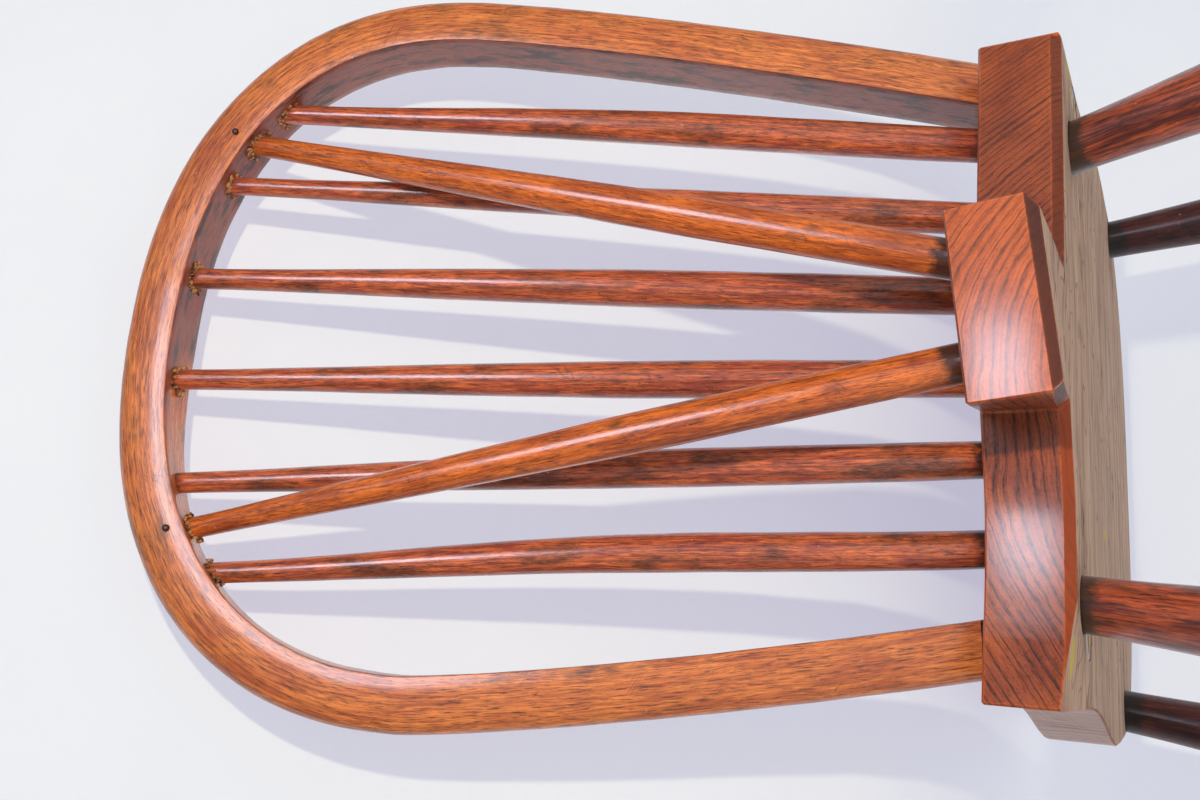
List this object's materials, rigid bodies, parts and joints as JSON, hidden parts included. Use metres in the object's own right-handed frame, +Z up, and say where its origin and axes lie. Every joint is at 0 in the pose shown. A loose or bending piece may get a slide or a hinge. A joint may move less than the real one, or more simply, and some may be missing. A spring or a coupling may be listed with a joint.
{
  "type": "brace-back windsor chair",
  "caption": "Old dark-varnished wooden side chair: bowed back with slender sticks, braces from the bow to a tail on the seat, turned splayed legs and stretchers.",
  "frame": {"origin": "on the floor, under the middle of the chair's bounding box", "axes": "+X across the chair, to the right when it is looked at from the front, which faces -Y; +Y to its back; +Z up"},
  "size_m": [0.463, 0.5726, 0.8637],
  "materials": {
    "seat_wood": "old dark varnish on the top and edges, bare weathered wood underneath",
    "bow_wood": "worn orange-brown varnish with dark streaks",
    "stick_wood": "worn red-brown varnish with dark mottles",
    "brace_wood": "worn golden-brown varnish with dark bands at the tail",
    "leg_wood": "dark red-brown varnish, nearly black at the seat",
    "wedge_wood": "bare pale wood",
    "pin_iron": "dull dark iron"
  },
  "bodies": {
    "root": {"seat": "seat_wood", "bow": "bow_wood", "back_stick_1": "stick_wood", "back_stick_2": "stick_wood", "back_stick_3": "stick_wood", "back_stick_4": "stick_wood", "back_stick_5": "stick_wood", "back_stick_6": "stick_wood", "brace_stick_left": "brace_wood", "brace_stick_right": "brace_wood", "leg_front_left": "leg_wood", "leg_front_right": "leg_wood", "leg_rear_left": "leg_wood", "leg_rear_right": "leg_wood", "side_stretcher_left": "leg_wood", "side_stretcher_right": "leg_wood", "cross_stretcher": "leg_wood", "bow_pin_left": "pin_iron", "bow_pin_right": "pin_iron", "bow_wedge_left": "wedge_wood", "bow_wedge_right": "wedge_wood"}
  },
  "joints": []
}
